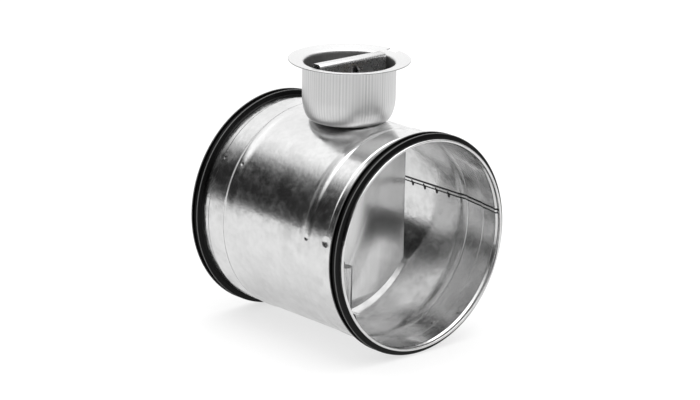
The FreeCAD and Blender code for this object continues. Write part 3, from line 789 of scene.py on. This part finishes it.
# The turned cup with the square notch cut in its flange
def makeCup():
    c = cup
    piece = turned("drawnCup", makeCupBlank(), c["around"], roundZ, cupMetal)
    half = c["notchWidth"] / 2
    y0 = c["flange"] - c["notchDepth"]
    y1 = c["flange"] + c["cutterOut"]
    z0 = c["flangeTop"] - c["cutterBelow"]
    z1 = c["flangeTop"] + c["cutterAbove"]
    sides = ((-half, y0), (half, y0), (half, y1), (-half, y1))
    corners = [(midX + x, y, z) for z in (z0, z1) for x, y in sides]
    faces = [(3, 2, 1, 0), (4, 5, 6, 7), (0, 1, 5, 4), (1, 2, 6, 5), (2, 3, 7, 6), (3, 0, 4, 7)]
    cutter = bpy.data.meshes.new("notchBlock")
    cutter.from_pydata(corners, [], faces)
    block = bpy.data.objects.new("notchBlock", cutter)
    bpy.context.collection.objects.link(block)
    notch = piece.modifiers.new("notch", "BOOLEAN")
    notch.object = block
    notch.operation = "DIFFERENCE"
    notch.solver = "EXACT"
    bake(piece)
    bpy.data.objects.remove(block)
    return piece


# Fine upright flutes that the die leaves round the wall: a radial push and a "flute" value
def fluteTree():
    noiseLow, noiseHigh = 0.3, 0.7  # nearly all of the noise lies between these
    tree = bpy.data.node_groups.new("drawnFlutes", "GeometryNodeTree")
    face = tree.interface
    face.new_socket("Geometry", in_out="INPUT", socket_type="NodeSocketGeometry")
    for name in ("Centre X", "Depth", "Count", "Uneven pitch", "Top", "Bottom", "Fade", "Seed"):
        face.new_socket(name, in_out="INPUT", socket_type="NodeSocketFloat")
    face.new_socket("Metal", in_out="INPUT", socket_type="NodeSocketMaterial")
    face.new_socket("Geometry", in_out="OUTPUT", socket_type="NodeSocketGeometry")
    given = addNode(tree, "NodeGroupInput").outputs
    spot = addNode(tree, "GeometryNodeInputPosition").outputs["Position"]
    centre = addNode(tree, "ShaderNodeCombineXYZ", {"X": given["Centre X"]})
    away = addNode(tree, "ShaderNodeVectorMath", {0: spot, 1: centre.outputs["Vector"]},
                   operation="SUBTRACT")
    flat = addNode(tree, "ShaderNodeVectorMath", {0: away.outputs["Vector"], 1: (1, 1, 0)},
                   operation="MULTIPLY")
    way = addNode(tree, "ShaderNodeVectorMath", {0: flat.outputs["Vector"]},
                  operation="NORMALIZE")
    sides = addNode(tree, "ShaderNodeSeparateXYZ", {"Vector": way.outputs["Vector"]})
    turn = addNode(tree, "ShaderNodeMath", {0: sides.outputs["Y"], 1: sides.outputs["X"]},
                   operation="ARCTAN2")
    phase = addNode(tree, "ShaderNodeMath", {0: turn.outputs["Value"], 1: given["Count"]},
                    operation="MULTIPLY")
    wave = addNode(tree, "ShaderNodeMath", {0: phase.outputs["Value"]}, operation="SINE")
    uneven = addNode(tree, "ShaderNodeTexNoise", {
        "Vector": way.outputs["Vector"], "W": given["Seed"], "Scale": given["Uneven pitch"],
        "Detail": 1.0,
    }, noise_dimensions="4D")
    swing = addNode(tree, "ShaderNodeMapRange", {
        "Value": uneven.outputs["Fac"], "From Min": noiseLow, "From Max": noiseHigh,
    })
    height = addNode(tree, "ShaderNodeSeparateXYZ", {"Vector": spot}).outputs["Z"]
    topEnd = addNode(tree, "ShaderNodeMath", {0: given["Top"], 1: given["Fade"]}, operation="ADD")
    topFade = addNode(tree, "ShaderNodeMapRange", {
        "Value": height, "From Min": given["Top"], "From Max": topEnd.outputs["Value"],
        "To Min": 1.0, "To Max": 0.0,
    }, interpolation_type="SMOOTHSTEP")
    lowEnd = addNode(tree, "ShaderNodeMath", {0: given["Bottom"], 1: given["Fade"]},
                     operation="ADD")
    lowFade = addNode(tree, "ShaderNodeMapRange", {
        "Value": height, "From Min": given["Bottom"], "From Max": lowEnd.outputs["Value"],
    }, interpolation_type="SMOOTHSTEP")
    share = addNode(tree, "ShaderNodeMath", {
        0: topFade.outputs["Result"], 1: lowFade.outputs["Result"],
    }, operation="MULTIPLY")
    strength = addNode(tree, "ShaderNodeMath", {
        0: share.outputs["Value"], 1: swing.outputs["Result"],
    }, operation="MULTIPLY")
    flute = addNode(tree, "ShaderNodeMath", {
        0: wave.outputs["Value"], 1: strength.outputs["Value"],
    }, operation="MULTIPLY")
    amount = addNode(tree, "ShaderNodeMath", {0: flute.outputs["Value"], 1: given["Depth"]},
                     operation="MULTIPLY")
    offset = addNode(tree, "ShaderNodeVectorMath", {
        0: way.outputs["Vector"], "Scale": amount.outputs["Value"],
    }, operation="SCALE")
    moved = addNode(tree, "GeometryNodeSetPosition", {
        "Geometry": given["Geometry"], "Offset": offset.outputs["Vector"],
    })
    marked = addNode(tree, "GeometryNodeStoreNamedAttribute", {
        "Geometry": moved.outputs["Geometry"], "Name": "flute", "Value": flute.outputs["Value"],
    }, data_type="FLOAT", domain="POINT")
    real = addNode(tree, "GeometryNodeRealizeInstances", {"Geometry": marked.outputs["Geometry"]})
    finish = addNode(tree, "GeometryNodeSetMaterial", {
        "Geometry": real.outputs["Geometry"], "Material": given["Metal"],
    })
    addNode(tree, "NodeGroupOutput", {"Geometry": finish.outputs["Geometry"]})
    return tree


# How far painted shade darkens a point of the cup: 1 inside, fading to 0 where the mouth rolls
# over, and again 1 at the flange's outer edge, which is darkened the same way
def shadeAndEdgeShare(point):
    c = cup
    radius = math.hypot(point.x - midX, point.y)
    flat = c["outer"] - c["corner"]
    cornerTop = c["bottom"] + c["cornerHeight"]
    if radius > c["flange"] - c["darkEdge"]:
        return 1.0
    if radius < flat:
        return float(point.z > c["bottom"] + c["sheet"] / 2)
    if point.z < cornerTop:
        across = (radius - flat) / c["corner"]
        below = (cornerTop - point.z) / c["cornerHeight"]
        return float(math.hypot(across, below) < c["skinMiddle"])
    fade = (c["flangeTop"] - c["dish"] - point.z) / c["mouthFade"]
    return min(max(fade, 0), 1) * (radius < c["outer"] - c["sheet"] / 2)


# Painted shade: each point's share of the darker colour, kept as a point value
def markShadeAndEdge(mesh):
    paintedShadeAndEdge = mesh.attributes.new("paintedShadeAndEdge", "FLOAT", "POINT")
    for vert in mesh.vertices:
        paintedShadeAndEdge.data[vert.index].value = shadeAndEdgeShare(vert.co)


cupPiece = makeCup()
growNodes(cupPiece, fluteTree(), {
    "Centre X": midX, "Depth": cup["fluteDepth"], "Count": cup["flutes"],
    "Uneven pitch": cup["unevenPitch"], "Top": cup["fluteTop"], "Bottom": cup["fluteBottom"],
    "Fade": cup["fluteFade"], "Seed": cup["seed"], "Metal": cupMetal,
})
cupPiece.data.set_sharp_from_angle(angle=sharpAngle)
markShadeAndEdge(cupPiece.data)
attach(cupPiece, "housing")
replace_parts(cupPiece, "cup")
print("cup made")

# Widths of the broken edges, and angles in degrees. An end face of the handle bar faces outwards
# by endFacing or more, and lies past endReach of the bar's half length
edges = {
    "blade": 0.25 * mm, "handleBar": 0.15 * mm, "quadrant": 0.15 * mm, "lockWasher": 0.1 * mm,
    "segments": 2, "bevelAngle": 40, "sharpAngle": 30, "flatAngle": 1, "mergeGap": 0.002 * mm,
    "endFacing": 0.95, "endReach": 0.9,
}


# A CAD piece's own mesh with its sharp edges broken, as sheared and turned metal has them
def brokenEdges(nodeName, body, material, width):
    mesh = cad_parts[nodeName].data.copy()
    piece = bpy.data.objects.new(nodeName + "Finished", mesh)
    bpy.context.collection.objects.link(piece)
    work = bmesh.new()
    work.from_mesh(mesh)
    bmesh.ops.remove_doubles(work, verts=work.verts, dist=edges["mergeGap"])
    bmesh.ops.dissolve_limit(work, angle_limit=math.radians(edges["flatAngle"]),
                             verts=work.verts, edges=work.edges)
    work.to_mesh(mesh)
    work.free()
    bevel = piece.modifiers.new("brokenEdge", "BEVEL")
    bevel.width = width
    bevel.segments = edges["segments"]
    bevel.limit_method = "ANGLE"
    bevel.angle_limit = math.radians(edges["bevelAngle"])
    bake(piece)
    piece.data.materials.clear()
    piece.data.materials.append(material)
    piece.data.shade_smooth()
    piece.data.set_sharp_from_angle(angle=math.radians(edges["sharpAngle"]))
    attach(piece, body)
    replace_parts(piece, nodeName)
    return piece


# The bar's two end faces, coloured near black as painted shade for the channel's dark hollow ends
def paintShadedEnds(piece):
    mesh = piece.data
    mesh.materials.append(darkEdge)
    farEnd = max(vert.co.y for vert in mesh.vertices)
    for face in mesh.polygons:
        facesOut = abs(face.normal.y) > edges["endFacing"]
        if facesOut and abs(face.center.y) > edges["endReach"] * farEnd:
            face.material_index = 1


brokenEdges("blade", "blade_assembly", bladeMetal, edges["blade"])
paintShadedEnds(brokenEdges("handle_bar", "blade_assembly", foldedMetal,
                     edges["handleBar"]))
brokenEdges("quadrant", "blade_assembly", zincPlate, edges["quadrant"])
brokenEdges("lock_washer", "housing", zincPlate, edges["lockWasher"])
print("edges broken")

finishes = {
    "casing": sheet, "rear_gasket": rubber, "front_gasket": rubber, "cup": cupMetal,
    "cup_seal": rubber, "cup_rivets": rivetMetal, "upper_bush": brass, "bush_nut": brass,
    "lower_bush": nylon, "lower_clip": springSteel, "friction_washer": nylon,
    "lock_stud": zincPlate, "lock_washer": zincPlate, "lock_nut": zincPlate,
    "blade": bladeMetal, "upper_shaft": rodMetal, "lower_shaft": rodMetal,
    "upper_shaft_rivets": rivetMetal, "lower_shaft_rivets": rivetMetal, "shaft_seal": rubber,
    "quadrant": zincPlate, "handle_bar": foldedMetal, "handle_pin": zincPlate,
}
for nodeName, finish in finishes.items():
    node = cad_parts[nodeName]
    if not node.data.materials:
        node.data.materials.append(finish)
    for slot in node.material_slots:
        slot.material = finish
print("finishes given")

# Sizes are in metres, power in watts, and the room's brightness is given at elevations in
# degrees, lowest first
studio = {
    "floorLevel": -65.15 * mm, "floorSize": 6.0, "floorColour": "F2F2F2",
    "floorLift": 0.65, "floorMirrored": 0.88, "floorSeen": 1.05,
    "lampSize": 1.6, "lampHeight": 1.5, "lampPower": 14.0,
    "skyStrength": 1.15, "roomBelow": 0.9,
    "room": [(-6, 0.75), (-1, 0.3), (4, 0.06), (10, 0.022), (24, 0.018), (30, 0.05),
             (35, 0.22), (40, 0.92), (44, 1.15), (54, 1.15), (62, 1.1), (80, 1.2)],
    "frontRoom": [(-6, 0.6), (0, 0.2), (6, 0.08), (17, 0.08), (23, 0.3), (29, 1.1),
                  (36, 1.3), (46, 1.05)],
    "frontStart": 0.1, "frontFull": 0.5,
    "paperTurn": 48, "paperStart": 0.35, "paperFull": 0.75,
}


# A pale floor: white to the camera and in reflections, with a share left to catch the shadow
def makeFloor():
    half = studio["floorSize"] / 2
    level = studio["floorLevel"]
    mesh = bpy.data.meshes.new("studioFloor")
    corners = [(midX + x * half, y * half, level) for x, y in ((-1, -1), (1, -1), (1, 1), (-1, 1))]
    mesh.from_pydata(corners, [], [(0, 1, 2, 3)])
    material, tree = newMaterial("matteStudioFloor")
    paint = addNode(tree, "ShaderNodeBsdfDiffuse", {"Color": linearColour(studio["floorColour"])})
    ray = addNode(tree, "ShaderNodeLightPath")
    strength = addNode(tree, "ShaderNodeMapRange", {
        "Value": ray.outputs["Is Camera Ray"],
        "To Min": studio["floorMirrored"], "To Max": studio["floorSeen"],
    })
    glow = addNode(tree, "ShaderNodeEmission", {
        "Color": (1, 1, 1, 1), "Strength": strength.outputs["Result"],
    })
    seen = addNode(tree, "ShaderNodeMath", {
        0: ray.outputs["Is Camera Ray"], 1: ray.outputs["Is Glossy Ray"],
    }, operation="MAXIMUM")
    share = addNode(tree, "ShaderNodeMath", {0: seen.outputs["Value"], 1: studio["floorLift"]},
                    operation="MULTIPLY")
    both = addNode(tree, "ShaderNodeMixShader", {
        "Fac": share.outputs["Value"], 1: paint.outputs["BSDF"], 2: glow.outputs["Emission"],
    })
    addNode(tree, "ShaderNodeOutputMaterial", {"Surface": both.outputs["Shader"]})
    mesh.materials.append(material)
    floor = bpy.data.objects.new("studioFloor", mesh)
    bpy.context.collection.objects.link(floor)


# Where an elevation in degrees lies on the room's ramp, from 0 straight down to 1 straight up
def rampPlace(elevation):
    return (math.sin(math.radians(elevation)) + 1) / 2


# White ceiling and white paper behind, with the room low on the camera's side: dark beside
# the duct, and lighter in front of its open end
def makeWorld():
    world = bpy.data.worlds.new("studioRoom")
    bpy.context.scene.world = world
    world.use_nodes = True
    tree = world.node_tree
    tree.nodes.clear()
    way = addNode(tree, "ShaderNodeTexCoord").outputs["Generated"]
    parts = addNode(tree, "ShaderNodeSeparateXYZ", {"Vector": way})
    rise = addNode(tree, "ShaderNodeMapRange", {
        "Value": parts.outputs["Z"], "From Min": -1.0, "From Max": 1.0,
    })
    sides = []
    for name in ("room", "frontRoom"):
        ramp = addNode(tree, "ShaderNodeValToRGB", {"Fac": rise.outputs["Result"]})
        stops = [(rampPlace(elevation), glow) for elevation, glow in studio[name]]
        setRamp(ramp, [(0.0, studio["roomBelow"])] + stops)
        sides.append(ramp.outputs["Color"])
    front = addNode(tree, "ShaderNodeMapRange", {
        "Value": parts.outputs["X"],
        "From Min": studio["frontStart"], "From Max": studio["frontFull"],
    })
    ceiling = addNode(tree, "ShaderNodeMix", {
        "Factor": front.outputs["Result"], "A": sides[0], "B": sides[1],
    }, data_type="RGBA")
    turn = math.radians(studio["paperTurn"])
    behind = Vector((-math.sin(turn), math.cos(turn), 0))
    facing = addNode(tree, "ShaderNodeVectorMath", {0: way, 1: behind}, operation="DOT_PRODUCT")
    paper = addNode(tree, "ShaderNodeMapRange", {
        "Value": facing.outputs["Value"],
        "From Min": studio["paperStart"], "From Max": studio["paperFull"],
    })
    room = addNode(tree, "ShaderNodeMix", {
        "Factor": paper.outputs["Result"], "A": ceiling.outputs["Result"], "B": (1, 1, 1, 1),
    }, data_type="RGBA")
    glow = addNode(tree, "ShaderNodeBackground", {
        "Color": room.outputs["Result"], "Strength": studio["skyStrength"],
    })
    white = addNode(tree, "ShaderNodeBackground", {"Color": (1, 1, 1, 1), "Strength": 1.0})
    ray = addNode(tree, "ShaderNodeLightPath")
    shown = addNode(tree, "ShaderNodeMixShader", {
        "Fac": ray.outputs["Is Camera Ray"],
        1: glow.outputs["Background"], 2: white.outputs["Background"],
    })
    addNode(tree, "ShaderNodeOutputWorld", {"Surface": shown.outputs["Shader"]})


def makeLamp():
    data = bpy.data.lights.new("overheadSoftbox", "AREA")
    data.size = studio["lampSize"]
    data.energy = studio["lampPower"]
    lamp = bpy.data.objects.new("overheadSoftbox", data)
    lamp.location = (midX, 0, studio["lampHeight"])
    bpy.context.collection.objects.link(lamp)


# The photo's camera, fitted to the object's rims: angles in degrees, distance in metres
view = {
    "azimuth": 48.004, "elevation": 16.829, "roll": 1.08, "distance": 1.9082,
    "aside": 1.823 * mm, "above": 11.15 * mm, "focal": 168.29, "sensor": 36.0, "clipEnd": 20,
}


def makeCamera():
    turn = math.radians(view["azimuth"])
    tilt = math.radians(view["elevation"])
    roll = math.radians(view["roll"])
    back = Vector((math.sin(turn) * math.cos(tilt), -math.cos(turn) * math.cos(tilt),
                   math.sin(tilt)))
    right = Vector((math.cos(turn), math.sin(turn), 0))
    up = back.cross(right)
    spot = shaftCentre + right * view["aside"] + up * view["above"] + back * view["distance"]
    rolledRight = right * math.cos(roll) + up * math.sin(roll)
    rolledUp = up * math.cos(roll) - right * math.sin(roll)
    data = bpy.data.cameras.new("photoView")
    data.lens = view["focal"]
    data.sensor_width = view["sensor"]
    data.sensor_fit = "HORIZONTAL"
    data.clip_end = view["clipEnd"]
    camera = bpy.data.objects.new("photoView", data)
    axes = Matrix((rolledRight, rolledUp, back)).transposed()
    camera.matrix_world = Matrix.Translation(spot) @ axes.to_4x4()
    bpy.context.collection.objects.link(camera)
    bpy.context.scene.camera = camera


makeFloor()
makeWorld()
makeLamp()
makeCamera()
bpy.context.scene.view_settings.view_transform = "Standard"
print("studio made")
